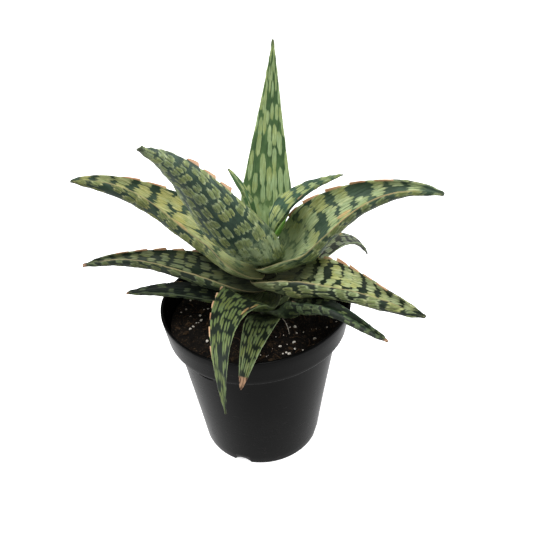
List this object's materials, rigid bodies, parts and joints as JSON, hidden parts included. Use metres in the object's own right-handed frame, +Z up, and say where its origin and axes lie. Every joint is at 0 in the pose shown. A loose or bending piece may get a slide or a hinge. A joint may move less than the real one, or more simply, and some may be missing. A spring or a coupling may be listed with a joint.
{
  "type": "potted aloe",
  "caption": "Small potted aloe: a rosette of fleshy, white-spotted, toothed leaves on a short stem, rooted in dark soil in a plain black nursery pot.",
  "frame": {"origin": "centre of the pot's underside", "axes": "+Z up along the pot's axis; -Y towards the viewer of the picture, +X to the viewer's right"},
  "size_m": [0.1861, 0.1972, 0.2517],
  "materials": {
    "pot": "satin moulded plastic, faintly scuffed",
    "soil": null,
    "stem": "dull green-brown stem",
    "leaf_01": null,
    "leaf_02": null,
    "leaf_03": null,
    "leaf_04": null,
    "leaf_05": null,
    "leaf_06": null,
    "leaf_07": null,
    "leaf_08": null,
    "leaf_09": null,
    "leaf_10": null,
    "leaf_11": null,
    "leaf_12": null,
    "leaf_13": null,
    "leaf_14": null,
    "leaf_15": null,
    "leaf_16": null,
    "leaf_17": null,
    "leaf_18": null
  },
  "bodies": {
    "root": {"pot": "pot", "soil": "soil", "stem": "stem", "leaf_01": "leaf_01", "leaf_02": "leaf_02", "leaf_03": "leaf_03", "leaf_04": "leaf_04", "leaf_05": "leaf_05", "leaf_06": "leaf_06", "leaf_07": "leaf_07", "leaf_08": "leaf_08", "leaf_09": "leaf_09", "leaf_10": "leaf_10", "leaf_11": "leaf_11", "leaf_12": "leaf_12", "leaf_13": "leaf_13", "leaf_14": "leaf_14", "leaf_15": "leaf_15", "leaf_16": "leaf_16", "leaf_17": "leaf_17", "leaf_18": "leaf_18"}
  },
  "joints": []
}
